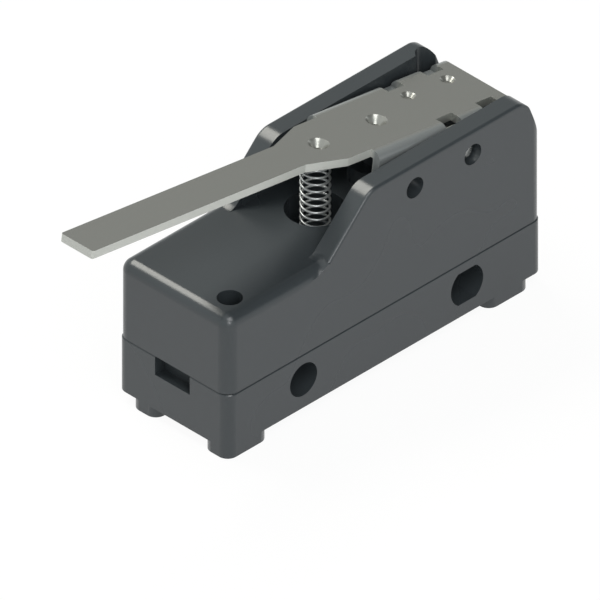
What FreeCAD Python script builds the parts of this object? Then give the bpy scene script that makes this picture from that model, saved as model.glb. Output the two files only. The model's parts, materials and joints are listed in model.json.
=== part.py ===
import FreeCAD, Part
import math
import os
import re
import Sketcher

# Lever micro switch, millimetres, +Z up. The lever's tip points to -X.
# Pieces are drawn from the middle of the housing at the level of the feet,
# then moved so that the origin is the centre of the round mounting hole.

SIZES = {
    # Housing
    "body_length": 49.0,
    "body_width": 17.2,
    "foot_height": 1.4,
    "parting_height": 8.45,
    "deck_height": 18.72,
    "cheek_top": 25.3,
    "cheek_thickness": 2.5,
    "end_wall": 2.1,
    "side_wall": 1.7,
    "deck_thickness": 1.5,
    "upper_corner_radius": 1.6,
    "lower_corner_radius": 1.3,
    "deck_edge_radius": 1.45,
    "parting_chamfer": 0.12,
    "front_slope_setback": 15.62,
    "front_slope_run": 6.58,
    "front_top_radius": 3.0,
    "front_foot_radius": 1.8,
    "rear_slope_run": 2.55,
    "rear_top_radius": 2.2,
    # Feet
    "foot_length": 6.5,
    "foot_width": 3.9,
    "side_foot_inset": 1.95,
    "end_foot_inset": 2.15,
    "end_foot_length": 2.8,
    # Mounting holes
    "hole_pitch": 25.4,
    "hole_height": 5.15,
    "hole_diameter": 4.2,
    "wide_hole_diameter": 5.0,
    # Clip windows
    "window_width": 5.4,
    "window_height": 2.4,
    "window_depth": 1.5,
    # Housing screws
    "screw_end_inset": 3.53,
    "screw_side_inset": 3.2,
    "deck_hole_diameter": 2.92,
    "rear_well_diameter": 3.4,
    "screw_seat_height": 10.6,
    "screw_boss_wall": 1.0,
    "screw_head_diameter": 2.7,
    "screw_head_height": 1.2,
    "screw_shank_diameter": 1.6,
    "screw_shank_length": 7.6,
    "drive_slot_width": 0.4,
    "drive_slot_depth": 0.5,
    "fit_gap": 0.1,
    # Pivot
    "pivot_setback": 10.9,
    "pivot_height": 22.3,
    "second_pivot_pitch": 9.0,
    "pin_hole_diameter": 2.6,
    "pin_diameter": 2.42,
    "pin_recess": 0.9,
    "pin_dome": 0.5,
    # Lever
    "lever_thickness": 1.0,
    "rest_tilt": 8.3,
    "pin_drop": 1.58,
    "tip_reach": 53.84,
    "arm_width": 5.0,
    "taper_start": 20.44,
    "taper_end": 15.48,
    "shoulder_width": 8.52,
    "flange_start": 11.9,
    "rear_reach": 9.05,
    "flange_gap": 0.45,
    "bend_radius": 1.1,
    "bend_inner_radius": 0.15,
    "flange_depth": 4.6,
    "flange_front_depth": 3.0,
    "flange_ramp": 5.0,
    "notch_length": 2.5,
    "notch_bite": 1.97,
    "notch_depth": 1.0,
    "second_notch": 6.17,
    "spring_dimple_reach": 15.9,
    "dimple_lead": 0.22,
    "dimple_diameter": 2.5,
    "dimple_depth": 0.9,
    "dimple_bottom_diameter": 1.3,
    "dimple_bump": 0.68,
    "dimple_bump_diameter": 2.0,
    "mark_diameter": 1.8,
    "mark_bottom_diameter": 0.9,
    "mark_depth": 0.45,
    "mark_offset": 1.8,
    "blank_corner_radius": 0.3,
    # Plunger
    "plunger_arm": 6.6,
    "plunger_diameter": 3.1,
    "plunger_clearance": 0.16,
    "plunger_top_height": 24.05,
    "plunger_foot_height": 12.85,
    "plunger_foot_diameter": 1.6,
    "plunger_collar_diameter": 5.0,
    "plunger_collar_height": 1.0,
    "plunger_collar_drop": 0.3,
    "tower_diameter": 6.4,
    "tower_height": 20.8,
    # Return spring
    "spring_setback": 22.2,
    "well_diameter": 6.95,
    "well_floor": 15.4,
    "cup_wall": 1.2,
    "spring_outer_diameter": 3.55,
    "spring_wire": 0.28,
    "spring_pitch": 0.943,
    "spring_head_room": 0.4,
    # Rear stop under the lever
    "stop_width": 8.0,
    "stop_length": 3.7,
    "stop_height": 22.4,
    # Contact blade
    "blade_hinge_setback": 8.7,
    "blade_level": 12.7,
    "blade_thickness": 0.4,
    "blade_width": 4.0,
    "blade_tail": 1.1,
    "contact_reach": 33.3,
    "contact_diameter": 2.8,
    "contact_height": 0.7,
    "contact_shank_diameter": 1.6,
    "contact_gap": 0.1,
    "leaf_thickness": 0.25,
    "leaf_width": 2.4,
    "leaf_anchor_drop": 2.1,
    "leaf_sag": 1.0,
    "leaf_reach": 11.8,
    # Terminals
    "strip_thickness": 0.8,
    "terminal_pitch": 19.05,
    "terminal_offset": 1.0,
    "well_length": 6.3,
    "well_width": 8.4,
    "well_roof": 6.4,
    "tab_level": 5.5,
    "tab_width": 6.0,
    "riser_width": 3.0,
    "common_riser_height": 13.4,
    "closed_riser_length": 2.0,
    "closed_strip_offset": 3.4,
    "closed_strip_depth": 1.8,
    "contact_tab_length": 3.6,
    "strip_clearance": 0.3,
    "open_plate_drop": 0.05,
    "terminal_screw_diameter": 3.0,
    "terminal_screw_top": 7.0,
    "terminal_head_diameter": 5.5,
    "terminal_head_height": 2.0,
    "terminal_head_level": 2.0,
    "clamp_size": 5.8,
    "clamp_thickness": 0.9,
}

doc = FreeCAD.newDocument("LeverMicroSwitch")
sheet = doc.addObject("Spreadsheet::Sheet", "Sizes")
for row, (name, size) in enumerate(SIZES.items(), start=1):
    sheet.set("A%d" % row, name)
    sheet.set("B%d" % row, str(size))
    sheet.setAlias("B%d" % row, name)
doc.recompute()

FINISHED = []


def formula(text):
    """The same sum of sheet names, as an expression bound to the sheet."""
    return re.sub(r"[a-z][a-z_]+[a-z]", lambda found: "Sizes." + found.group(), text)


def number(text):
    """Value now of a sum of products, such as 'body_length/2 - end_wall'."""
    total = 0.0
    for sign, term in re.findall(r"([+-]?)\s*([\w./*]+)", text):
        product = -1.0 if sign == "-" else 1.0
        for step, factor in re.findall(r"([*/]?)([\w.]+)", term):
            size = SIZES[factor] if factor in SIZES else float(factor)
            product = product / size if step == "/" else product * size
        total += product
    return total


def negative(text):
    """The same sum with every sign turned."""
    turned_text = text.translate(str.maketrans("+-", "-+"))
    return turned_text[1:] if turned_text.startswith("+") else "-" + turned_text


def bind(thing, prop, text):
    thing.setExpression(prop, formula(text))


def place(thing, label):
    """Move a finished piece from the housing's middle to the part's origin."""
    thing.Label = label
    bind(thing, "Placement.Base.x", "hole_pitch/2")
    bind(thing, "Placement.Base.z", "-hole_height")
    FINISHED.append(thing)


# Sketches

def new_body(name):
    return doc.addObject("PartDesign::Body", name + "_body")


def new_sketch(body, plane, offset=("0", "0", "0")):
    """Sketch on a plane of its body, moved by an offset along that plane's own axes."""
    sketch = body.newObject("Sketcher::SketchObject", "Sketch")
    support = [item for item in body.Origin.OriginFeatures if item.Role == plane][0]
    sketch.AttachmentSupport = [(support, "")]
    sketch.MapMode = "FlatFace"
    for axis, text in zip("xyz", offset):
        if text != "0":
            bind(sketch, "AttachmentOffset.Base." + axis, text)
    return sketch


def fix_point(sketch, geometry, end, point):
    """Tie one end or centre of a curve to its place along both axes."""
    for kind, text in zip(("DistanceX", "DistanceY"), point):
        index = sketch.addConstraint(Sketcher.Constraint(kind, -1, 1, geometry, end, number(text)))
        bind(sketch, "Constraints[%d]" % index, text)


def polygon(sketch, points):
    """Closed outline of straight lines through points given as sums."""
    corners = [FreeCAD.Vector(number(x), number(y), 0) for x, y in points]
    lines = []
    for start, end in zip(corners, corners[1:] + corners[:1]):
        lines.append(sketch.addGeometry(Part.LineSegment(start, end), False))
    for line, following in zip(lines, lines[1:] + lines[:1]):
        sketch.addConstraint(Sketcher.Constraint("Coincident", line, 2, following, 1))
    for line, point in zip(lines, points):
        fix_point(sketch, line, 1, point)


def rectangle(sketch, left, right, low, high):
    polygon(sketch, [(left, low), (right, low), (right, high), (left, high)])


def circle(sketch, x, y, diameter):
    centre = FreeCAD.Vector(number(x), number(y), 0)
    shape = Part.Circle(centre, FreeCAD.Vector(0, 0, 1), number(diameter) / 2)
    index = sketch.addGeometry(shape, False)
    fix_point(sketch, index, 3, (x, y))
    size = sketch.addConstraint(Sketcher.Constraint("Diameter", index, number(diameter)))
    bind(sketch, "Constraints[%d]" % size, diameter)


def flatted_circle(sketch, x, y, diameter, across):
    """Circle cut by two level flats, as in a double-D hole."""
    radius = number(diameter) / 2
    half = number(across) / 2
    angle = math.asin(half / radius)
    centre = FreeCAD.Vector(number(x), number(y), 0)
    round_edge = Part.Circle(centre, FreeCAD.Vector(0, 0, 1), radius)
    right = sketch.addGeometry(Part.ArcOfCircle(round_edge, -angle, angle), False)
    left = sketch.addGeometry(Part.ArcOfCircle(round_edge, math.pi - angle, math.pi + angle), False)
    flats = []
    for side in (1, -1):
        reach = math.sqrt(radius ** 2 - half ** 2)
        start = centre + FreeCAD.Vector(side * reach, side * half, 0)
        end = centre + FreeCAD.Vector(-side * reach, side * half, 0)
        flats.append(sketch.addGeometry(Part.LineSegment(start, end), False))
    top, bottom = flats
    sketch.addConstraint(Sketcher.Constraint("Coincident", right, 2, top, 1))
    sketch.addConstraint(Sketcher.Constraint("Coincident", top, 2, left, 1))
    sketch.addConstraint(Sketcher.Constraint("Coincident", left, 2, bottom, 1))
    sketch.addConstraint(Sketcher.Constraint("Coincident", bottom, 2, right, 1))
    sketch.addConstraint(Sketcher.Constraint("Coincident", right, 3, left, 3))
    sketch.addConstraint(Sketcher.Constraint("Horizontal", top))
    sketch.addConstraint(Sketcher.Constraint("Horizontal", bottom))
    fix_point(sketch, right, 3, (x, y))
    size = sketch.addConstraint(Sketcher.Constraint("Diameter", right, 2 * radius))
    bind(sketch, "Constraints[%d]" % size, diameter)
    for end, text in ((2, y + " + " + across + "/2"), (1, y + " - " + across + "/2")):
        level = sketch.addConstraint(
            Sketcher.Constraint("DistanceY", -1, 1, right, end, number(text)))
        bind(sketch, "Constraints[%d]" % level, text)


# Features

def pad(body, sketch, length, both_sides=False, backwards=False):
    return sweep_sketch(body, sketch, "PartDesign::Pad", length, both_sides, backwards)


def pocket(body, sketch, length, both_sides=False, backwards=False):
    return sweep_sketch(body, sketch, "PartDesign::Pocket", length, both_sides, backwards)


def sweep_sketch(body, sketch, kind, length, both_sides, backwards):
    before = body.Shape.Volume if body.Tip else 0.0
    feature = body.newObject(kind, kind.split("::")[1])
    feature.Profile = sketch
    feature.Length = number(length)
    bind(feature, "Length", length)
    feature.SideType = "Symmetric" if both_sides else "One side"
    feature.Reversed = backwards
    doc.recompute()
    assert abs(feature.Shape.Volume - before) > 1e-6, feature.Name + " changes nothing"
    return feature


def turn(body, sketch, groove=False):
    """Full turn of a sketch about its own vertical axis."""
    kind = "Groove" if groove else "Revolution"
    feature = body.newObject("PartDesign::" + kind, kind)
    feature.Profile = sketch
    feature.ReferenceAxis = (sketch, ["V_Axis"])
    feature.Angle = 360
    doc.recompute()
    return feature


def dress(body, kind, size_name, test):
    """Fillet or chamfer on each edge of the body that passes the test."""
    base = body.Tip
    names = []
    for index, edge in enumerate(base.Shape.Edges, start=1):
        if edge.Degenerated:
            continue
        middle = edge.valueAt((edge.FirstParameter + edge.LastParameter) / 2)
        along = edge.tangentAt((edge.FirstParameter + edge.LastParameter) / 2)
        if test(middle, along):
            names.append("Edge%d" % index)
    assert names, "no edge for " + size_name
    feature = body.newObject("PartDesign::" + kind, kind)
    feature.Base = (base, names)
    if kind == "Fillet":
        bind(feature, "Radius", size_name)
    else:
        bind(feature, "Size", size_name)
    doc.recompute()
    assert feature.isValid(), kind + " of " + size_name + " fails"
    return feature


def near(first, second):
    return abs(first - second) < 1e-4


def along_axis(direction, axis):
    return abs(abs(getattr(direction, axis)) - 1.0) < 1e-6


HALF_LENGTH = "body_length/2"
HALF_WIDTH = "body_width/2"
HINGE_X = "body_length/2 - pivot_setback"
PLUNGER_X = HINGE_X + " - plunger_arm"
SPRING_X = "-body_length/2 + spring_setback"
BLADE_X = "-body_length/2 + blade_hinge_setback"
CONTACT_X = BLADE_X + " + contact_reach"
CEILING = "deck_height - deck_thickness"
SCREW_X = "body_length/2 - screw_end_inset"
SCREW_Y = "body_width/2 - screw_side_inset"
BOSS_X = SCREW_X + " - deck_hole_diameter/2 - screw_boss_wall"
BOSS_Y = SCREW_Y + " - deck_hole_diameter/2 - screw_boss_wall"
FLANGE_OUTSIDE = "body_width/2 - cheek_thickness - flange_gap"
CLOSED_RISER = "tab_width/2 - closed_riser_length"
OPEN_PLATE = "parting_height - open_plate_drop - strip_thickness"
CHEEK_INSIDE = "body_width/2 - cheek_thickness"


SCREWS = ((negative(SCREW_X), negative(SCREW_Y)), (SCREW_X, SCREW_Y))


def at_body_corner(middle):
    inside = max(SIZES["upper_corner_radius"], SIZES["lower_corner_radius"])
    return (abs(middle.x) > number(HALF_LENGTH) - inside
            and abs(middle.y) > number(HALF_WIDTH) - inside)


# Upper housing: cover with low deck, two cheeks, spring well and plunger tower

def upper_housing():
    body = new_body("upper_housing")
    half_length = number(HALF_LENGTH)
    half_width = number(HALF_WIDTH)
    deck = SIZES["deck_height"]
    top = SIZES["cheek_top"]

    plan = new_sketch(body, "XY_Plane", ("0", "0", "parting_height"))
    rectangle(plan, "-" + HALF_LENGTH, HALF_LENGTH, "-" + HALF_WIDTH, HALF_WIDTH)
    pad(body, plan, "cheek_top - parting_height")
    dress(body, "Fillet", "upper_corner_radius", lambda middle, along: along_axis(along, "z"))

    front = new_sketch(body, "XZ_Plane")
    slope_foot = "-body_length/2 + front_slope_setback"
    slope_top = slope_foot + " + front_slope_run"
    polygon(front, [
        ("-body_length/2 - 1", "deck_height"), (slope_foot, "deck_height"),
        (slope_top, "cheek_top"), (slope_top, "cheek_top + 1"),
        ("-body_length/2 - 1", "cheek_top + 1")])
    pocket(body, front, "body_width + 2", both_sides=True)

    rear = new_sketch(body, "XZ_Plane")
    polygon(rear, [
        (HALF_LENGTH, "deck_height"), ("body_length/2 + 1", "deck_height"),
        ("body_length/2 + 1", "cheek_top + 1"), ("body_length/2 - rear_slope_run", "cheek_top + 1"),
        ("body_length/2 - rear_slope_run", "cheek_top")])
    pocket(body, rear, "body_width + 2", both_sides=True)

    def across(x, z):
        return lambda middle, along: (
            along_axis(along, "y") and near(middle.x, x) and near(middle.z, z))

    dress(body, "Fillet", "front_top_radius", across(number(slope_top), top))
    dress(body, "Fillet", "rear_top_radius",
          across(number("body_length/2 - rear_slope_run"), top))

    def deck_rim(middle, along):
        rim = near(middle.z, deck) and middle.x < number(slope_foot) - 0.1
        return rim and not (along_axis(along, "y") and middle.x > -half_length + 0.1)

    dress(body, "Fillet", "deck_edge_radius", deck_rim)
    dress(body, "Fillet", "front_foot_radius", across(number(slope_foot), deck))

    trough = new_sketch(body, "XY_Plane", ("0", "0", "deck_height"))
    trough_front = slope_foot + " - front_foot_radius"
    stop_front = "body_length/2 - stop_length"
    past_end = "body_length/2 + 1"
    polygon(trough, [
        (trough_front, "-body_width/2 + cheek_thickness"),
        (past_end, "-body_width/2 + cheek_thickness"),
        (past_end, "-stop_width/2"), (stop_front, "-stop_width/2"),
        (stop_front, "stop_width/2"), (past_end, "stop_width/2"),
        (past_end, CHEEK_INSIDE), (trough_front, CHEEK_INSIDE)])
    pocket(body, trough, "cheek_top - deck_height + 1", backwards=True)

    stop = new_sketch(body, "XY_Plane", ("0", "0", "stop_height"))
    rectangle(stop, "body_length/2 - stop_length - 0.1", past_end,
              "-stop_width/2 - 0.1", "stop_width/2 + 0.1")
    pocket(body, stop, "cheek_top - stop_height + 1", backwards=True)

    cavity = new_sketch(body, "XY_Plane", ("0", "0", "parting_height"))
    wall_x = "body_length/2 - end_wall"
    wall_y = "body_width/2 - side_wall"
    polygon(cavity, [
        (negative(wall_x), negative(BOSS_Y)), (negative(BOSS_X), negative(BOSS_Y)),
        (negative(BOSS_X), negative(wall_y)), (wall_x, negative(wall_y)),
        (wall_x, BOSS_Y), (BOSS_X, BOSS_Y), (BOSS_X, wall_y), (negative(wall_x), wall_y)])
    pocket(body, cavity, CEILING + " - parting_height", backwards=True)

    cup = new_sketch(body, "XY_Plane", ("0", "0", "well_floor - cup_wall"))
    circle(cup, SPRING_X, "0", "well_diameter + 2*cup_wall")
    pad(body, cup, "deck_height - 0.5 - well_floor + cup_wall")
    tower = new_sketch(body, "XY_Plane", ("0", "0", CEILING))
    circle(tower, PLUNGER_X, "0", "tower_diameter")
    pad(body, tower, "tower_height - deck_height + deck_thickness")

    well = new_sketch(body, "XY_Plane", ("0", "0", "well_floor"))
    circle(well, SPRING_X, "0", "well_diameter")
    pocket(body, well, "deck_height - well_floor + 1", backwards=True)
    guide = new_sketch(body, "XY_Plane", ("0", "0", CEILING + " - 1"))
    circle(guide, PLUNGER_X, "0", "plunger_diameter + plunger_clearance")
    pocket(body, guide, "tower_height - deck_height + deck_thickness + 2", backwards=True)

    holes = new_sketch(body, "XZ_Plane")
    circle(holes, HINGE_X, "pivot_height", "pin_hole_diameter")
    circle(holes, HINGE_X + " - second_pivot_pitch", "pivot_height", "pin_hole_diameter")
    pocket(body, holes, "body_width + 2", both_sides=True)

    for (x, y), diameter in zip(SCREWS, ("deck_hole_diameter", "rear_well_diameter")):
        access = new_sketch(body, "XY_Plane", ("0", "0", "screw_seat_height"))
        circle(access, x, y, diameter)
        pocket(body, access, "cheek_top - screw_seat_height + 1", backwards=True)
    shanks = new_sketch(body, "XY_Plane", ("0", "0", "parting_height - 1"))
    for x, y in SCREWS:
        circle(shanks, x, y, "screw_shank_diameter + fit_gap")
    pocket(body, shanks, "screw_seat_height - parting_height + 2", backwards=True)

    def lower_rim(middle, along):
        outside = (near(abs(middle.y), half_width) or near(abs(middle.x), half_length)
                   or at_body_corner(middle))
        return near(middle.z, SIZES["parting_height"]) and outside

    dress(body, "Chamfer", "parting_chamfer", lower_rim)
    place(body, "upper_housing")


# Lower housing: base with feet, cross holes, terminal wells and clip windows

def lower_housing():
    body = new_body("lower_housing")
    half_length = number(HALF_LENGTH)
    half_width = number(HALF_WIDTH)

    plan = new_sketch(body, "XY_Plane", ("0", "0", "foot_height"))
    rectangle(plan, "-" + HALF_LENGTH, HALF_LENGTH, "-" + HALF_WIDTH, HALF_WIDTH)
    pad(body, plan, "parting_height - foot_height")

    feet = new_sketch(body, "XY_Plane")
    rectangle(feet, "-" + HALF_LENGTH, "-body_length/2 + foot_length",
              "-" + HALF_WIDTH, "-body_width/2 + foot_width")
    rectangle(feet, "body_length/2 - side_foot_inset - foot_length",
              "body_length/2 - side_foot_inset",
              "-" + HALF_WIDTH, "-body_width/2 + foot_width")
    rectangle(feet, "-" + HALF_LENGTH, "-body_length/2 + end_foot_length",
              "body_width/2 - end_foot_inset - foot_width", "body_width/2 - end_foot_inset")
    rectangle(feet, "body_length/2 - foot_length", HALF_LENGTH,
              "body_width/2 - foot_width", HALF_WIDTH)
    pad(body, feet, "foot_height")
    dress(body, "Fillet", "lower_corner_radius", lambda middle, along: along_axis(along, "z"))

    round_hole = new_sketch(body, "XZ_Plane")
    circle(round_hole, "-hole_pitch/2", "hole_height", "hole_diameter")
    pocket(body, round_hole, "body_width + 2", both_sides=True)
    wide_hole = new_sketch(body, "XZ_Plane")
    flatted_circle(wide_hole, "hole_pitch/2", "hole_height", "wide_hole_diameter", "hole_diameter")
    pocket(body, wide_hole, "body_width + 2", both_sides=True)

    wells = new_sketch(body, "XY_Plane", ("0", "0", "foot_height"))
    slots = new_sketch(body, "XY_Plane", ("0", "0", "well_roof"))
    bores = new_sketch(body, "XY_Plane", ("0", "0", "well_roof"))
    for side, offset in (("-", "terminal_offset"), ("0*", "0"), ("", "-terminal_offset")):
        middle = side + "terminal_pitch"
        rectangle(wells, middle + " - well_length/2", middle + " + well_length/2",
                  offset + " - well_width/2", offset + " + well_width/2")
        circle(bores, middle, offset, "terminal_screw_diameter + 2*fit_gap")
    pocket(body, wells, "well_roof - foot_height", backwards=True)
    pocket(body, bores, "terminal_screw_top - well_roof + fit_gap", backwards=True)

    riser = "-terminal_pitch + well_length/2"
    rectangle(slots, riser + " - strip_thickness - fit_gap", riser + " + fit_gap",
              "terminal_offset - riser_width/2 - fit_gap",
              "terminal_offset + riser_width/2 + fit_gap")
    rectangle(slots, CLOSED_RISER + " - fit_gap", "tab_width/2 + fit_gap",
              "closed_strip_offset - fit_gap",
              "closed_strip_offset + strip_thickness + fit_gap")
    open_riser = "terminal_pitch - well_length/2"
    rectangle(slots, open_riser + " - fit_gap", open_riser + " + strip_thickness + fit_gap",
              "-terminal_offset - riser_width/2 - fit_gap",
              "-terminal_offset + riser_width/2 + fit_gap")
    pocket(body, slots, "parting_height - well_roof + 1", backwards=True)

    recess = new_sketch(body, "XY_Plane", ("0", "0", OPEN_PLATE))
    rectangle(recess, open_riser + " - fit_gap", CONTACT_X + " + contact_tab_length/2 + fit_gap",
              "-terminal_offset - riser_width/2 - fit_gap", "contact_tab_length/2 + fit_gap")
    pocket(body, recess, "open_plate_drop + strip_thickness + 1", backwards=True)

    screws = new_sketch(body, "XY_Plane",
                        ("0", "0", "screw_seat_height - screw_shank_length - 0.3"))
    for x, y in SCREWS:
        circle(screws, x, y, "screw_shank_diameter + fit_gap")
    pocket(body, screws, "parting_height - screw_seat_height + screw_shank_length + 1.3",
           backwards=True)

    for plane_offset, backwards in (("-body_length/2", True), ("body_length/2", False)):
        window = new_sketch(body, "YZ_Plane", ("0", "0", plane_offset))
        rectangle(window, "-window_width/2", "window_width/2",
                  "parting_height - window_height", "parting_height + 0.5")
        pocket(body, window, "window_depth", backwards=backwards)

    def upper_rim(middle, along):
        outside = (near(abs(middle.y), half_width) or near(abs(middle.x), half_length)
                   or at_body_corner(middle))
        return near(middle.z, SIZES["parting_height"]) and outside

    dress(body, "Chamfer", "parting_chamfer", upper_rim)
    place(body, "lower_housing")


# Lever: bent sheet drawn flat about the pivot, then tilted to its rest position

def lever():
    body = new_body("lever")
    top = "pin_drop + lever_thickness"
    blank = new_sketch(body, "XY_Plane", ("0", "0", "pin_drop"))
    polygon(blank, [
        ("-tip_reach", "-arm_width/2"), ("-taper_start", "-arm_width/2"),
        ("-taper_end", "-shoulder_width/2"), ("-flange_start + 1", "-shoulder_width/2"),
        ("-flange_start + 1", "shoulder_width/2"), ("-taper_end", "shoulder_width/2"),
        ("-taper_start", "arm_width/2"), ("-tip_reach", "arm_width/2")])
    pad(body, blank, "lever_thickness")
    dress(body, "Fillet", "blank_corner_radius", lambda middle, along: (
        along_axis(along, "z") and near(middle.x, -SIZES["tip_reach"])))

    channel = new_sketch(body, "YZ_Plane", ("0", "0", "-flange_start"))
    low = top + " - flange_depth"
    outside = FLANGE_OUTSIDE
    inside = FLANGE_OUTSIDE + " - lever_thickness"
    polygon(channel, [
        (negative(outside), low), (negative(inside), low), (negative(inside), "pin_drop"),
        (inside, "pin_drop"), (inside, low), (outside, low), (outside, top),
        (negative(outside), top)])
    pad(body, channel, "flange_start + rear_reach")

    def bend(width, level):
        return lambda middle, along: (
            along_axis(along, "x") and near(abs(middle.y), number(width))
            and near(middle.z, number(level)))

    dress(body, "Fillet", "bend_radius", bend(outside, top))
    dress(body, "Fillet", "bend_inner_radius", bend(inside, "pin_drop"))

    trim = new_sketch(body, "XZ_Plane")
    front_low = top + " - flange_front_depth"
    polygon(trim, [
        ("-flange_start - 1", low + " - 1"), ("-flange_start + flange_ramp", low + " - 1"),
        ("-flange_start + flange_ramp", low), ("-flange_start", front_low),
        ("-flange_start - 1", front_low)])
    pocket(body, trim, "body_width", both_sides=True)

    for middle in ("0", "second_notch"):
        for turn_side in (str, negative):
            notch = new_sketch(body, "XY_Plane", ("0", "0", top + " - notch_depth"))
            rectangle(notch, middle + " - notch_length/2", middle + " + notch_length/2",
                      turn_side(outside + " - notch_bite"), turn_side(outside + " + 1"))
            pocket(body, notch, "notch_depth + 1", backwards=True)
    holes = new_sketch(body, "XZ_Plane")
    for middle in ("0", "second_notch"):
        circle(holes, middle, "0", "pin_diameter + fit_gap")
    pocket(body, holes, "body_width", both_sides=True)

    dimples = ("-spring_dimple_reach", "-plunger_arm - dimple_lead")
    for reach in dimples:
        bump = new_sketch(body, "XZ_Plane", (reach, "0", "0"))
        polygon(bump, [
            ("0", "pin_drop - dimple_bump"), ("dimple_bump_diameter/4", "pin_drop - dimple_bump"),
            ("dimple_bump_diameter/2", "pin_drop + 0.1"), ("0", "pin_drop + 0.1")])
        turn(body, bump)
    for reach in dimples:
        cone = new_sketch(body, "XZ_Plane", (reach, "0", "0"))
        polygon(cone, [
            ("0", top + " - dimple_depth"),
            ("dimple_bottom_diameter/2", top + " - dimple_depth"), ("dimple_diameter/2", top),
            ("dimple_diameter/2", top + " + 0.2"), ("0", top + " + 0.2")])
        turn(body, cone, groove=True)
    for reach in ("0", "second_notch"):
        mark = new_sketch(body, "XZ_Plane", (reach, "0", "-mark_offset"))
        polygon(mark, [
            ("0", top + " - mark_depth"), ("mark_bottom_diameter/2", top + " - mark_depth"),
            ("mark_diameter/2", top), ("mark_diameter/2", top + " + 0.2"),
            ("0", top + " + 0.2")])
        turn(body, mark, groove=True)

    body.Label = "lever"
    body.Placement.Rotation = FreeCAD.Rotation(FreeCAD.Vector(0, 1, 0), SIZES["rest_tilt"])
    bind(body, "Placement.Rotation.Angle", "rest_tilt")
    bind(body, "Placement.Base.x", HINGE_X + " + hole_pitch/2")
    bind(body, "Placement.Base.z", "pivot_height - hole_height")
    FINISHED.append(body)


# Turned pieces

def turned(label, x, outline):
    """Piece turned about a vertical axis at x."""
    body = new_body(label)
    sketch = new_sketch(body, "XZ_Plane", (x, "0", "0"))
    polygon(sketch, outline)
    turn(body, sketch)
    return body


def pivot_pin():
    body = new_body("pivot_pin")
    outline = new_sketch(body, "XY_Plane", (HINGE_X, "0", "pivot_height"))
    end = "body_width/2 - pin_recess"
    rectangle(outline, "0", "pin_diameter/2", "-body_width/2 + pin_recess", end)
    turn(body, outline)
    dress(body, "Fillet", "pin_dome", lambda middle, along: near(abs(middle.y), number(end)))
    place(body, "pivot_pin")


def plunger():
    collar_top = CEILING + " - plunger_collar_drop"
    collar_low = collar_top + " - plunger_collar_height"
    stem = "plunger_diameter/2"
    body = turned("plunger", PLUNGER_X, [
        ("0", "plunger_foot_height"), ("plunger_foot_diameter/2", "plunger_foot_height"),
        (stem, "plunger_foot_height + 0.8"), (stem, collar_low),
        ("plunger_collar_diameter/2", collar_low), ("plunger_collar_diameter/2", collar_top),
        (stem, collar_top), (stem, "plunger_top_height - 0.4"),
        (stem + " - 0.4", "plunger_top_height"), ("0", "plunger_top_height")])
    place(body, "plunger")


def moving_contact():
    face = "contact_diameter/2"
    shank = "contact_shank_diameter/2"
    under = "blade_level - blade_thickness"
    body = turned("moving_contact", CONTACT_X, [
        ("0", under + " - contact_height"), (face, under + " - contact_height"), (face, under),
        (shank, under), (shank, "blade_level"), (face, "blade_level"),
        (face, "blade_level + contact_height"), ("0", "blade_level + contact_height")])
    place(body, "moving_contact")


def fixed_contacts():
    face = "contact_diameter/2"
    low = "blade_level + contact_height + contact_gap"
    closed = turned("closed_contact", CONTACT_X, [
        ("0", low), (face, low), (face, low + " + contact_height"), ("0", low + " + contact_height")])
    place(closed, "closed_contact")
    base = "parting_height - open_plate_drop"
    opened = turned("open_contact", CONTACT_X, [
        ("0", base), (face, base), (face, base + " + contact_height"),
        ("0", base + " + contact_height")])
    place(opened, "open_contact")


# Screws

def slotted_screw(label, x, y, seat, points, slot_floor, slot_height):
    """Turned screw with a straight drive slot across its head."""
    body = new_body(label)
    sketch = new_sketch(body, "XZ_Plane", (x, "0", negative(y)))
    polygon(sketch, points)
    turn(body, sketch)
    slot = new_sketch(body, "XY_Plane", ("0", "0", slot_floor))
    reach = seat + "/2 + 0.1"
    rectangle(slot, x + " - " + reach.replace("+", "-"), x + " + " + reach,
              y + " - drive_slot_width/2", y + " + drive_slot_width/2")
    pocket(body, slot, slot_height, backwards=True)
    place(body, label)


def housing_screws():
    head = "screw_head_diameter/2"
    shank = "screw_shank_diameter/2"
    seat = "screw_seat_height"
    tip = seat + " - screw_shank_length"
    points = [
        ("0", tip), (shank + " - 0.3", tip), (shank, tip + " + 0.5"), (shank, seat), (head, seat),
        (head, seat + " + screw_head_height - 0.2"), (head + " - 0.2", seat + " + screw_head_height"),
        ("0", seat + " + screw_head_height")]
    for label, (x, y) in zip(("housing_screw_front", "housing_screw_rear"), SCREWS):
        slotted_screw(label, x, y, "screw_head_diameter", points,
                      seat + " + screw_head_height - drive_slot_depth", "drive_slot_depth + 0.2")


TERMINALS = (("common", "-terminal_pitch", "terminal_offset"),
             ("closed", "0*terminal_pitch", "0"),
             ("open", "terminal_pitch", "-terminal_offset"))


def terminal_screws():
    head = "terminal_head_diameter/2"
    shank = "terminal_screw_diameter/2"
    low = "terminal_head_level"
    seat = low + " + terminal_head_height"
    points = [
        ("0", low), (head + " - 0.4", low), (head, low + " + 0.4"), (head, seat),
        (shank, seat), (shank, "terminal_screw_top - 0.4"),
        (shank + " - 0.4", "terminal_screw_top"), ("0", "terminal_screw_top")]
    for name, x, y in TERMINALS:
        slotted_screw("terminal_screw_" + name, x, y, "terminal_head_diameter", points,
                      low + " - 0.2", "drive_slot_depth + 0.4")


def clamp_plates():
    for name, x, y in TERMINALS:
        body = new_body("clamp_plate_" + name)
        plate = new_sketch(body, "XY_Plane",
                           ("0", "0", "terminal_head_level + terminal_head_height"))
        rectangle(plate, x + " - clamp_size/2", x + " + clamp_size/2",
                  y + " - clamp_size/2", y + " + clamp_size/2")
        circle(plate, x, y, "terminal_screw_diameter + 2*fit_gap")
        pad(body, plate, "clamp_thickness")
        place(body, "clamp_plate_" + name)


# Terminals: bent strips

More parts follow.
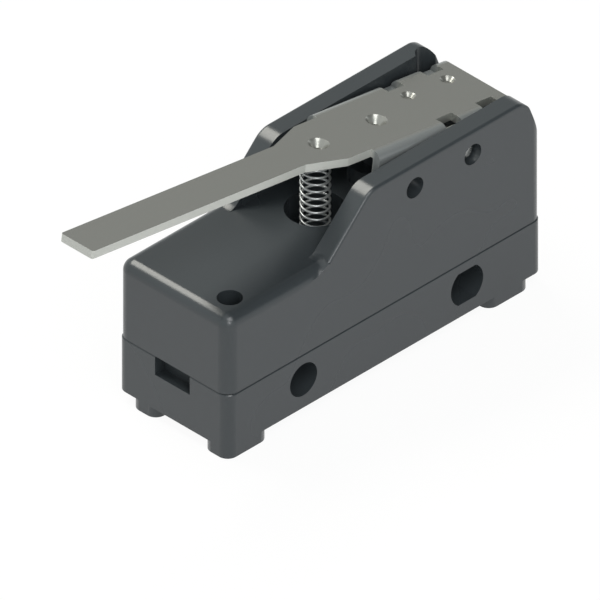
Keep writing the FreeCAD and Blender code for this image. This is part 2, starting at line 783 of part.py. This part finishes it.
def terminal_tab(body, x, y, left, right):
    """Level tab in a terminal's well, with the hole for its screw."""
    tab = new_sketch(body, "XY_Plane", ("0", "0", "tab_level"))
    rectangle(tab, left, right, y + " - tab_width/2", y + " + tab_width/2")
    circle(tab, x, y, "terminal_screw_diameter + fit_gap")
    pad(body, tab, "strip_thickness")


def common_terminal():
    body = new_body("common_terminal")
    rear = "-terminal_pitch + well_length/2"
    terminal_tab(body, "-terminal_pitch", "terminal_offset",
                 "-terminal_pitch - tab_width/2", rear)
    riser = new_sketch(body, "XY_Plane", ("0", "0", "tab_level"))
    rectangle(riser, rear + " - strip_thickness", rear,
              "terminal_offset - riser_width/2", "terminal_offset + riser_width/2")
    pad(body, riser, "common_riser_height - tab_level")
    place(body, "common_terminal")


def closed_terminal():
    body = new_body("closed_terminal")
    outer = "closed_strip_offset + strip_thickness"
    low = "blade_level + 2*contact_height + contact_gap"
    tab = new_sketch(body, "XY_Plane", ("0", "0", "tab_level"))
    polygon(tab, [
        ("-tab_width/2", "-tab_width/2"), ("tab_width/2", "-tab_width/2"),
        ("tab_width/2", outer), (CLOSED_RISER, outer), (CLOSED_RISER, "tab_width/2"),
        ("-tab_width/2", "tab_width/2")])
    circle(tab, "0", "0", "terminal_screw_diameter + fit_gap")
    pad(body, tab, "strip_thickness")
    web = new_sketch(body, "XZ_Plane", ("0", "0", "-closed_strip_offset - strip_thickness"))
    top = low + " + strip_thickness"
    web_end = BOSS_X + " - strip_clearance"
    polygon(web, [
        (CLOSED_RISER, "tab_level"), ("tab_width/2", "tab_level"),
        ("tab_width/2", top + " - closed_strip_depth"),
        (web_end, top + " - closed_strip_depth"), (web_end, top), (CLOSED_RISER, top)])
    pad(body, web, "strip_thickness")
    cap = new_sketch(body, "XY_Plane", ("0", "0", low))
    cap_start = CONTACT_X + " - contact_tab_length/2"
    cap_end = CONTACT_X + " + contact_tab_length/2"
    beside_boss = BOSS_Y + " - strip_clearance"
    polygon(cap, [
        (cap_start, "-contact_tab_length/2"), (cap_end, "-contact_tab_length/2"),
        (cap_end, beside_boss), (web_end, beside_boss), (web_end, outer), (cap_start, outer)])
    pad(body, cap, "strip_thickness")
    place(body, "closed_terminal")


def open_terminal():
    body = new_body("open_terminal")
    front = "terminal_pitch - well_length/2"
    terminal_tab(body, "terminal_pitch", "-terminal_offset", front, "terminal_pitch + tab_width/2")
    riser = new_sketch(body, "XY_Plane", ("0", "0", "tab_level"))
    rectangle(riser, front, front + " + strip_thickness",
              "-terminal_offset - riser_width/2", "-terminal_offset + riser_width/2")
    pad(body, riser, "parting_height - open_plate_drop - tab_level")
    plate = new_sketch(body, "XY_Plane", ("0", "0", OPEN_PLATE))
    rectangle(plate, front, CONTACT_X + " + contact_tab_length/2",
              "-terminal_offset - riser_width/2", "contact_tab_length/2")
    pad(body, plate, "strip_thickness")
    place(body, "open_terminal")


# Moving blade and its snap spring

def contact_blade():
    body = new_body("contact_blade")
    plan = new_sketch(body, "XY_Plane", ("0", "0", "blade_level - blade_thickness"))
    rectangle(plan, BLADE_X, CONTACT_X + " + blade_tail", "-blade_width/2", "blade_width/2")
    circle(plan, CONTACT_X, "0", "contact_shank_diameter")
    pad(body, plan, "blade_thickness")
    place(body, "contact_blade")


def snap_spring():
    body = new_body("snap_spring")
    leaf = new_sketch(body, "XZ_Plane")
    under = "blade_level - blade_thickness"
    anchor = "blade_level - leaf_anchor_drop"
    middle = BLADE_X + " + leaf_reach/2"
    polygon(leaf, [
        (BLADE_X + " + 0.1", anchor + " - leaf_thickness"),
        (middle, anchor + " - leaf_sag - leaf_thickness"),
        (BLADE_X + " + leaf_reach", under + " - leaf_thickness"),
        (BLADE_X + " + leaf_reach + 1.5", under + " - leaf_thickness"),
        (BLADE_X + " + leaf_reach + 1.5", under), (BLADE_X + " + leaf_reach", under),
        (middle, anchor + " - leaf_sag"), (BLADE_X + " + 0.1", anchor)])
    pad(body, leaf, "leaf_width", both_sides=True)
    place(body, "snap_spring")


# Return spring: round wire swept along a helix

def return_spring():
    coil = doc.addObject("Part::Helix", "spring_coil")
    coil.LocalCoord = "Left-handed"
    bind(coil, "Pitch", "spring_pitch")
    bind(coil, "Radius", "spring_outer_diameter/2 - spring_wire/2")
    under_lever = ("Sizes.pivot_height + Sizes.pin_drop / cos(Sizes.rest_tilt)"
                   " + (Sizes.body_length - Sizes.pivot_setback - Sizes.spring_setback)"
                   " * tan(Sizes.rest_tilt)")
    coil.setExpression("Height", under_lever + " - Sizes.well_floor - Sizes.spring_wire"
                       " - Sizes.spring_head_room")
    wire = doc.addObject("Part::Circle", "spring_wire_section")
    bind(wire, "Radius", "spring_wire/2")
    bind(wire, "Placement.Base.x", "spring_outer_diameter/2 - spring_wire/2")
    wire.Placement.Rotation = FreeCAD.Rotation(FreeCAD.Vector(1, 0, 0), 90)
    spring = doc.addObject("Part::Sweep", "spring_sweep")
    spring.Sections = [wire]
    spring.Spine = (coil, [])
    spring.Solid = True
    spring.Frenet = True
    spring.Label = "return_spring"
    spring.Placement.Rotation = FreeCAD.Rotation(FreeCAD.Vector(0, 0, 1), 180)
    bind(spring, "Placement.Base.x", SPRING_X + " + hole_pitch/2")
    bind(spring, "Placement.Base.z", "well_floor + spring_wire/2 + 0.02 - hole_height")
    FINISHED.append(spring)


upper_housing()
lower_housing()
lever()
pivot_pin()
plunger()
return_spring()
contact_blade()
moving_contact()
snap_spring()
common_terminal()
closed_terminal()
open_terminal()
fixed_contacts()
housing_screws()
terminal_screws()
clamp_plates()
doc.recompute()

for item in doc.Objects:
    assert not {"Invalid", "Error"} & set(item.State), item.Name + " failed: " + str(item.State)
for piece in FINISHED:
    shape = piece.Shape
    assert not shape.isNull() and shape.isValid(), piece.Label + " is not a valid solid"
    assert len(shape.Solids) == 1, piece.Label + " is not one solid"

os.makedirs("parts", exist_ok=True)
for piece in FINISHED:
    piece.Shape.exportStep("parts/" + piece.Label + ".step")
    print(piece.Label, round(piece.Shape.Volume, 2))
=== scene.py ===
import json
import math
import bmesh
import bpy
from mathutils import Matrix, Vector


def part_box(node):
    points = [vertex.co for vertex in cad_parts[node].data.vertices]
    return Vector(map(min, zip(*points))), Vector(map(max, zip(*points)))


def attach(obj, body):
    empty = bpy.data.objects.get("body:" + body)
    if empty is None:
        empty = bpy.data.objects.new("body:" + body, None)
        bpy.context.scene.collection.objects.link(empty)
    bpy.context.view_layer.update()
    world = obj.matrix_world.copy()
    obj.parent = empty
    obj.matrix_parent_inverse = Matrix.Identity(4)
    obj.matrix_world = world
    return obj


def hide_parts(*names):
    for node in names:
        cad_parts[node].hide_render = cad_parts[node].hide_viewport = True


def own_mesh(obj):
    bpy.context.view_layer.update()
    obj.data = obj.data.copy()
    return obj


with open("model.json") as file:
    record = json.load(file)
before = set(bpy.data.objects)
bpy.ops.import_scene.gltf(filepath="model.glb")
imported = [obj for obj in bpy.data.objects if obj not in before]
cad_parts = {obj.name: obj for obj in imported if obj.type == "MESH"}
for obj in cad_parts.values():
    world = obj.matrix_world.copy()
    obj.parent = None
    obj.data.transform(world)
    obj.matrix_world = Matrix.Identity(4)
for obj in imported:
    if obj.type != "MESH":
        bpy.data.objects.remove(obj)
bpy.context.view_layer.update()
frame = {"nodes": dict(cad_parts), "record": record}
nodes = frame["nodes"]
slots = {entry["node"]: entry["material_slot"] for entry in frame["record"]["subparts"]}
scene = bpy.context.scene
MM = 0.001

# Materials. The lever's faces change over the spans below: the upright part of a face's
# direction, then places in mm across the lever and along it.

CUT_LEAN = (0.75, 0.3)
BEND_SPAN = (4.4, 4.9)
ARM_RIM_SPAN = (2.0, 2.3)
AHEAD_OF_FLANGES = (15.5, 15.0)
TOP_METALLIC = 0.7
SIDE_METALLIC = 0.1


def linear(red, green, blue):
    """Colour seen on screen, 0 to 255, as the shader's linear colour."""
    def channel(value):
        value /= 255
        return value / 12.92 if value <= 0.04045 else ((value + 0.055) / 1.055) ** 2.4
    return (channel(red), channel(green), channel(blue), 1.0)


def tinted(tone, factor):
    return tuple(min(1.0, channel * factor) for channel in tone[:3]) + (1.0,)


class Nodes:
    """The nodes of a material or of the surroundings."""

    def __init__(self, tree):
        self.tree = tree

    def add(self, kind, **settings):
        node = self.tree.nodes.new(kind)
        for key, value in settings.items():
            setattr(node, key, value)
        return node

    def join(self, output, target):
        self.tree.links.new(output, target)

    def maths(self, operation, *sources):
        """Combine outputs and plain numbers."""
        node = self.add("ShaderNodeMath", operation=operation)
        for source, target in zip(sources, node.inputs):
            if isinstance(source, float):
                target.default_value = source
            else:
                self.join(source, target)
        return node.outputs[0]

    def span(self, source, start, end, height=1.0, curve="LINEAR"):
        """Rise from 0 at the start to the full height at the end."""
        spread = self.add("ShaderNodeMapRange", interpolation_type=curve)
        spread.inputs["From Min"].default_value = start
        spread.inputs["From Max"].default_value = end
        spread.inputs["To Max"].default_value = height
        self.join(source, spread.inputs["Value"])
        return spread.outputs["Result"]

    def seen(self, rays):
        """1 on what is looked at, mirrored or seen through, and 0 on what only gives light."""
        mirrored = self.maths("MAXIMUM", rays["Is Camera Ray"], rays["Is Glossy Ray"])
        return self.maths("MAXIMUM", mirrored, rays["Is Transmission Ray"])


class Shader(Nodes):
    """One procedural material, built node by node."""

    def __init__(self, name):
        self.material = bpy.data.materials.new(name)
        self.material.use_nodes = True
        super().__init__(self.material.node_tree)
        self.surface = self.tree.nodes["Principled BSDF"]
        place = self.add("ShaderNodeTexCoord")
        self.coordinates = place.outputs["Object"]
        self.normal = place.outputs["Normal"]

    def axes(self, vector):
        """The X, Y and Z outputs of a vector."""
        parts = self.add("ShaderNodeSeparateXYZ")
        self.join(vector, parts.inputs[0])
        return parts.outputs

    def noise(self, scale, detail, stretch=(1, 1, 1)):
        mapping = self.add("ShaderNodeMapping")
        mapping.inputs["Scale"].default_value = stretch
        texture = self.add("ShaderNodeTexNoise")
        texture.inputs["Scale"].default_value = scale
        texture.inputs["Detail"].default_value = detail
        self.join(self.coordinates, mapping.inputs["Vector"])
        self.join(mapping.outputs["Vector"], texture.inputs["Vector"])
        return texture.outputs["Fac"]

    def ramp(self, source, low, high, target):
        """Carry a share between two values or colours into a socket of the surface."""
        spread = self.add("ShaderNodeValToRGB")
        for element, value in zip(spread.color_ramp.elements, (low, high)):
            element.color = value if isinstance(value, tuple) else (value, value, value, 1)
        self.join(source, spread.inputs["Fac"])
        self.join(spread.outputs["Color"], self.surface.inputs[target])

    def mix(self, share, first, second):
        """One colour turning into another."""
        blend = self.add("ShaderNodeMix", data_type="RGBA")
        self.join(share, blend.inputs["Factor"])
        for socket, colour in zip((blend.inputs[6], blend.inputs[7]), (first, second)):
            if isinstance(colour, tuple):
                socket.default_value = colour
            else:
                self.join(colour, socket)
        return blend.outputs[2]

    def bump(self, source, height, strength):
        bump = self.add("ShaderNodeBump")
        bump.inputs["Strength"].default_value = strength
        bump.inputs["Distance"].default_value = height
        self.join(source, bump.inputs["Height"])
        self.join(bump.outputs["Normal"], self.surface.inputs["Normal"])


def plastic(name, tone, roughness):
    """Moulded plastic: faint mould grain, with slow changes of tone and gloss."""
    shader = Shader(name)
    grain = shader.noise(scale=2600, detail=4.0)
    cloud = shader.noise(scale=60, detail=1.0)
    shader.ramp(cloud, tinted(tone, 0.94), tinted(tone, 1.06), "Base Color")
    shader.ramp(cloud, roughness - 0.02, roughness + 0.02, "Roughness")
    shader.bump(grain, height=0.0015 * MM, strength=0.2)
    return shader.material


def metal(name, tone, roughness, stretch=(1, 1, 1), metallic=1.0):
    """Metal with a fine grain, drawn out into lines where it is stretched."""
    shader = Shader(name)
    shader.surface.inputs["Metallic"].default_value = metallic
    lines = shader.noise(scale=700, detail=5.0, stretch=stretch)
    shader.ramp(lines, tinted(tone, 0.95), tinted(tone, 1.05), "Base Color")
    shader.ramp(lines, roughness - 0.03, roughness + 0.03, "Roughness")
    shader.bump(lines, height=0.0008 * MM, strength=0.3)
    return shader.material


def sheet_steel(name, tone, cut_edge_painted_light, bend_painted_matt, roughness):
    """Rolled steel sheet with painted light: its cut edges get a lighter tone and its bent sides
    a painted matt tone, and both the bent sides and the arm rims mirror less, so these painted
    tones stand in for the reflection and light that the nearby cover shades off them.
    """
    shader = Shader(name)
    lines = shader.noise(scale=700, detail=5.0, stretch=(0.1, 1, 1))
    level = shader.maths("ABSOLUTE", shader.axes(shader.normal)["Z"])
    place = shader.axes(shader.coordinates)
    beside = shader.maths("ABSOLUTE", place["Y"])
    cut = shader.span(level, *CUT_LEAN)
    bent = shader.span(beside, *(limit * MM for limit in BEND_SPAN))
    rim = shader.span(beside, *(limit * MM for limit in ARM_RIM_SPAN))
    front = shader.span(place["X"], *(limit * MM for limit in AHEAD_OF_FLANGES))
    arm_rim = shader.maths("MULTIPLY", shader.maths("MULTIPLY", rim, front), cut)
    # Painted light: cut edges get a lighter tone, and bent sides a painted matt tone in place of
    # their reflection.
    edges = shader.mix(cut, tone, cut_edge_painted_light)
    shader.join(shader.mix(bent, edges, bend_painted_matt), shader.surface.inputs["Base Color"])
    # Less mirror where the painted tones stand, so the dark cover close by is not reflected
    # there.
    painted_matt_share = shader.maths("MAXIMUM", bent, arm_rim)
    shader.ramp(painted_matt_share, TOP_METALLIC, SIDE_METALLIC, "Metallic")
    shader.ramp(lines, roughness - 0.02, roughness + 0.02, "Roughness")
    shader.bump(lines, height=0.0002 * MM, strength=0.2)
    return shader.material


MATERIALS = {
    "moulded_black": plastic("moulded_plastic", linear(51, 56, 59), 0.27),
    # Lever: its top tone, then a lighter tone painted on its cut edges as light, then a painted
    # matt tone for its bends.
    "steel_sheet": sheet_steel(
        "lever_steel", linear(141, 141, 136), linear(180, 182, 177), linear(122, 126, 126), 0.25),
    "steel_pin": metal("pin_steel", linear(186, 188, 186), 0.24),
    "spring_wire": metal("spring_steel", linear(178, 181, 181), 0.32, metallic=0.65),
    "plated_steel": metal("plated_steel", linear(180, 180, 174), 0.3),
    "spring_bronze": metal("contact_bronze", linear(205, 150, 105), 0.3, (0.2, 1, 1)),
    "brass_strip": metal("terminal_brass", linear(212, 184, 116), 0.3, (0.2, 1, 1)),
    "silver_contact": metal("contact_silver", linear(222, 222, 218), 0.25),
}

# Materials and soft edges of the pieces: radii in mm, least angles of an edge in degrees

EDGE_RADIUS = {
    "upper_housing": 0.10,
    "lower_housing": 0.045,
    "lever": 0.05,
    "pivot_pin": 0.05,
    "plunger": 0.06,
}
SHARP_ANGLE = 32
CORNER_ANGLE = 68
FLAT_ANGLE = 0.2
WELD_GAP = 0.0002


def bevel_modifier(piece, radius):
    bevel = piece.modifiers.new("edges", "BEVEL")
    bevel.width = radius * MM
    bevel.segments = 3
    bevel.limit_method = "ANGLE"
    bevel.angle_limit = math.radians(SHARP_ANGLE)
    return bevel


def smooth_shading(piece):
    shading = piece.modifiers.new("shading", "WEIGHTED_NORMAL")
    shading.mode = "FACE_AREA"
    shading.weight = 80
    shading.keep_sharp = True


def soften(piece, radius):
    """Round a piece's sharp edges, with its flat faces first joined into single faces."""
    weld = piece.modifiers.new("weld", "WELD")
    weld.merge_threshold = WELD_GAP * MM
    planar = piece.modifiers.new("planar", "DECIMATE")
    planar.decimate_type = "DISSOLVE"
    planar.angle_limit = math.radians(FLAT_ANGLE)
    planar.delimit = set()
    bevel_modifier(piece, radius)
    smooth_shading(piece)


def clear_normals(piece):
    """Drop imported corner normals, which no longer fit once the edges are rounded."""
    if "custom_normal" in piece.data.attributes:
        piece.data.attributes.remove(piece.data.attributes["custom_normal"])


for name, piece in nodes.items():
    piece.data.materials.clear()
    piece.data.materials.append(MATERIALS[slots[name]])
    if name in EDGE_RADIUS and name != "upper_housing":
        clear_normals(piece)
        soften(piece, EDGE_RADIUS[name])

# Cover: its cheeks' outer edges are well rounded, and its pin holes stay sharp

PIN_HOLES = (17.3, 26.3)
PIN_LEVEL = 17.15
PIN_HOLE_RADIUS = 1.3
HOLE_MARGIN = 0.05
DECK_DROP = 6.55
CHEEK_EDGE_RADIUS = 0.4
SIDEWAYS = 0.999
UPWARDS = 0.7
SIDE_MARGIN = 0.001


def in_pin_hole(edge):
    for x in PIN_HOLES:
        axis = Vector((x, 0, PIN_LEVEL)) * MM
        reach = [(corner.co - axis) * Vector((1, 0, 1)) for corner in edge.verts]
        if max(offset.length for offset in reach) < (PIN_HOLE_RADIUS + HOLE_MARGIN) * MM:
            return True
    return False


def long_cheek_edge(edge, low, high):
    """Edge above the deck between a cheek's outer side and its top or front slope."""
    deck = high.z - DECK_DROP * MM
    if len(edge.link_faces) != 2 or min(corner.co.z for corner in edge.verts) < deck:
        return False
    if in_pin_hole(edge):
        return False
    sides = [face for face in edge.link_faces if abs(face.normal.y) > SIDEWAYS]
    tops = [face for face in edge.link_faces if face.normal.z > UPWARDS]
    outside = all(
        min(abs(corner.co.y - low.y), abs(corner.co.y - high.y)) < SIDE_MARGIN * MM
        for corner in edge.verts)
    return len(sides) == 1 and len(tops) == 1 and outside


def mark_edges(mesh):
    """Weigh the corners to be rounded, and keep the other creases sharp."""
    weight = mesh.edges.layers.float.new("bevel_weight_edge")
    for edge in mesh.edges:
        if len(edge.link_faces) == 2 and edge.calc_face_angle() > math.radians(SHARP_ANGLE):
            if edge.calc_face_angle() > math.radians(CORNER_ANGLE) and not in_pin_hole(edge):
                edge[weight] = 1.0
            else:
                edge.smooth = False


def cover_moulding(node):
    low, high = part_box(node)
    mesh = bmesh.new()
    mesh.from_mesh(nodes[node].data)
    bmesh.ops.remove_doubles(mesh, verts=mesh.verts, dist=WELD_GAP * MM)
    bmesh.ops.dissolve_limit(
        mesh, angle_limit=math.radians(FLAT_ANGLE), verts=mesh.verts, edges=mesh.edges)
    bmesh.ops.bevel(
        mesh, geom=[edge for edge in mesh.edges if long_cheek_edge(edge, low, high)],
        offset=CHEEK_EDGE_RADIUS * MM, offset_type="OFFSET", segments=5, profile=0.5,
        affect="EDGES", clamp_overlap=False)
    mesh.normal_update()
    mark_edges(mesh)
    for face in mesh.faces:
        face.smooth = True
    data = bpy.data.meshes.new(node + "_moulding")
    mesh.to_mesh(data)
    mesh.free()
    piece = bpy.data.objects.new(node + "_moulding", data)
    scene.collection.objects.link(piece)
    bevel_modifier(piece, EDGE_RADIUS[node]).limit_method = "WEIGHT"
    smooth_shading(piece)
    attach(piece, "housing")
    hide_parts(node)
    return piece


cover = cover_moulding("upper_housing")
cover.data.materials.append(MATERIALS[slots["upper_housing"]])

# Return spring: a left-handed coil of round wire

SPRING_RADIUS = 1.635
SPRING_WIRE = 0.28
SPRING_PITCH = 0.943
SPRING_START = math.pi
STEPS_PER_TURN = 48


def spring_wire(low, high):
    """The coil as a curve with a round section."""
    middle = (low + high) / 2
    bottom = low.z + SPRING_WIRE / 2 * MM
    rise = high.z - low.z - SPRING_WIRE * MM
    count = round(rise / (SPRING_PITCH * MM) * STEPS_PER_TURN)
    data = bpy.data.curves.new("return_spring_coil", "CURVE")
    data.dimensions = "3D"
    data.bevel_depth = SPRING_WIRE / 2 * MM
    data.bevel_resolution = 4
    data.use_fill_caps = True
    line = data.splines.new("POLY")
    line.points.add(count)
    for index, point in enumerate(line.points):
        angle = SPRING_START - 2 * math.pi * index / STEPS_PER_TURN
        point.co = (
            middle.x + SPRING_RADIUS * MM * math.cos(angle),
            middle.y + SPRING_RADIUS * MM * math.sin(angle),
            bottom + SPRING_PITCH * MM * index / STEPS_PER_TURN, 1)
    data.materials.append(MATERIALS["spring_wire"])
    return data


def return_spring():
    low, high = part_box("return_spring")
    curve = bpy.data.objects.new("return_spring_coil", spring_wire(low, high))
    scene.collection.objects.link(curve)
    bpy.context.view_layer.update()
    mesh = bpy.data.meshes.new_from_object(
        curve.evaluated_get(bpy.context.evaluated_depsgraph_get()))
    bpy.data.objects.remove(curve)
    piece = bpy.data.objects.new("return_spring_coil", mesh)
    scene.collection.objects.link(piece)
    for face in mesh.polygons:
        face.use_smooth = True
    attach(piece, "housing")
    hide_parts("return_spring")
    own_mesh(piece)


return_spring()

# Floor: glowing where it is seen or mirrored, and otherwise matt, so that it takes shadows

FLOOR_SIZE = 4.0
FLOOR_DROP = 0.02
FLOOR_TONE = (0.93, 0.93, 0.93, 1)
FLOOR_GLOW_SHARE = 0.94
feet_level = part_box("lower_housing")[0].z


def floor():
    mesh = bpy.data.meshes.new("floor")
    half = FLOOR_SIZE / 2
    corners = [(-half, -half, 0), (half, -half, 0), (half, half, 0), (-half, half, 0)]
    mesh.from_pydata(corners, [], [(0, 1, 2, 3)])
    plane = bpy.data.objects.new("floor", mesh)
    plane.location.z = feet_level - FLOOR_DROP * MM
    scene.collection.objects.link(plane)
    shader = Shader("pale_floor")
    shader.surface.inputs["Base Color"].default_value = FLOOR_TONE
    shader.surface.inputs["Roughness"].default_value = 0.9
    glow = shader.add("ShaderNodeEmission")
    glow.inputs["Strength"].default_value = 1.0
    blend = shader.add("ShaderNodeMixShader")
    seen = shader.seen(shader.add("ShaderNodeLightPath").outputs)
    shader.join(shader.maths("MULTIPLY", seen, FLOOR_GLOW_SHARE), blend.inputs["Fac"])
    shader.join(shader.surface.outputs["BSDF"], blend.inputs[1])
    shader.join(glow.outputs["Emission"], blend.inputs[2])
    output = shader.tree.nodes["Material Output"]
    shader.join(blend.outputs["Shader"], output.inputs["Surface"])
    mesh.materials.append(shader.material)


floor()

# Light: three soft lamps, in metres and watts, that face the middle of the part

LAMP_AIM = Vector((0.008, 0, 0.003))


def area_light(name, direction, distance, width, height, power, colour=(1, 1, 1)):
    data = bpy.data.lights.new(name, "AREA")
    data.shape = "RECTANGLE"
    data.size = width
    data.size_y = height
    data.energy = power
    data.color = colour
    lamp = bpy.data.objects.new(name, data)
    away = Vector(direction).normalized()
    lamp.location = LAMP_AIM + away * distance
    lamp.rotation_euler = (-away).to_track_quat("-Z", "Y").to_euler()
    scene.collection.objects.link(lamp)


area_light(
    "strip", (0.0, 0.58, 0.82), distance=0.40, width=0.28, height=0.13, power=1.05,
    colour=(1.0, 0.98, 0.90))
area_light("top", (-0.15, -0.50, 0.85), distance=0.45, width=0.24, height=0.24, power=0.8)
area_light("fill", (-0.46, -0.76, 0.46), distance=0.45, width=0.13, height=0.13, power=0.38)

# Surroundings: white where seen or mirrored, and half as bright on matt faces. Each flag
# has a direction, the cosines at which its shade starts and is full, and its depth.

MATT_LEVEL = 0.50
SKY_TONE = (0.96, 1.0, 1.0, 1)
FLAGS = (
    ((0.577, -0.35, 0.74), (0.70, 0.88), 0.85),
    ((0.577, 0.50, 0.60), (0.75, 0.97), 0.50),
)


def studio_world():
    world = bpy.data.worlds.new("studio")
    scene.world = world
    world.use_nodes = True
    sky = Nodes(world.node_tree)
    rays = sky.add("ShaderNodeLightPath").outputs
    level = sky.maths("MULTIPLY_ADD", sky.seen(rays), 1 - MATT_LEVEL, MATT_LEVEL)
    direction = sky.add("ShaderNodeTexCoord").outputs["Generated"]
    not_in_view = sky.maths("SUBTRACT", 1.0, rays["Is Camera Ray"])
    for towards, (outer, inner), depth in FLAGS:
        cosine = sky.add("ShaderNodeVectorMath", operation="DOT_PRODUCT")
        sky.join(direction, cosine.inputs[0])
        cosine.inputs[1].default_value = Vector(towards).normalized()
        flag = sky.span(cosine.outputs["Value"], outer, inner, depth, "SMOOTHSTEP")
        shade = sky.maths("MULTIPLY", flag, not_in_view)
        level = sky.maths("MULTIPLY", level, sky.maths("SUBTRACT", 1.0, shade))
    background = sky.tree.nodes["Background"]
    background.inputs["Color"].default_value = SKY_TONE
    sky.join(level, background.inputs["Strength"])


studio_world()

# Camera: parallel isometric view of the near side, the lever's tip and the top

VIEW_AIM = Vector((8.039, 0.0, 2.393)) * MM
VIEW_DIRECTION = Vector((-1, -1, 1)).normalized()
VIEW_WIDTH = 65.914 * MM
VIEW_DISTANCE = 0.3

camera_data = bpy.data.cameras.new("camera")
camera_data.type = "ORTHO"
camera_data.ortho_scale = VIEW_WIDTH
camera_data.clip_start = 0.001
camera = bpy.data.objects.new("camera", camera_data)
camera.location = VIEW_AIM + VIEW_DIRECTION * VIEW_DISTANCE
camera.rotation_euler = (-VIEW_DIRECTION).to_track_quat("-Z", "Y").to_euler()
scene.collection.objects.link(camera)
scene.camera = camera
scene.view_settings.view_transform = "Standard"
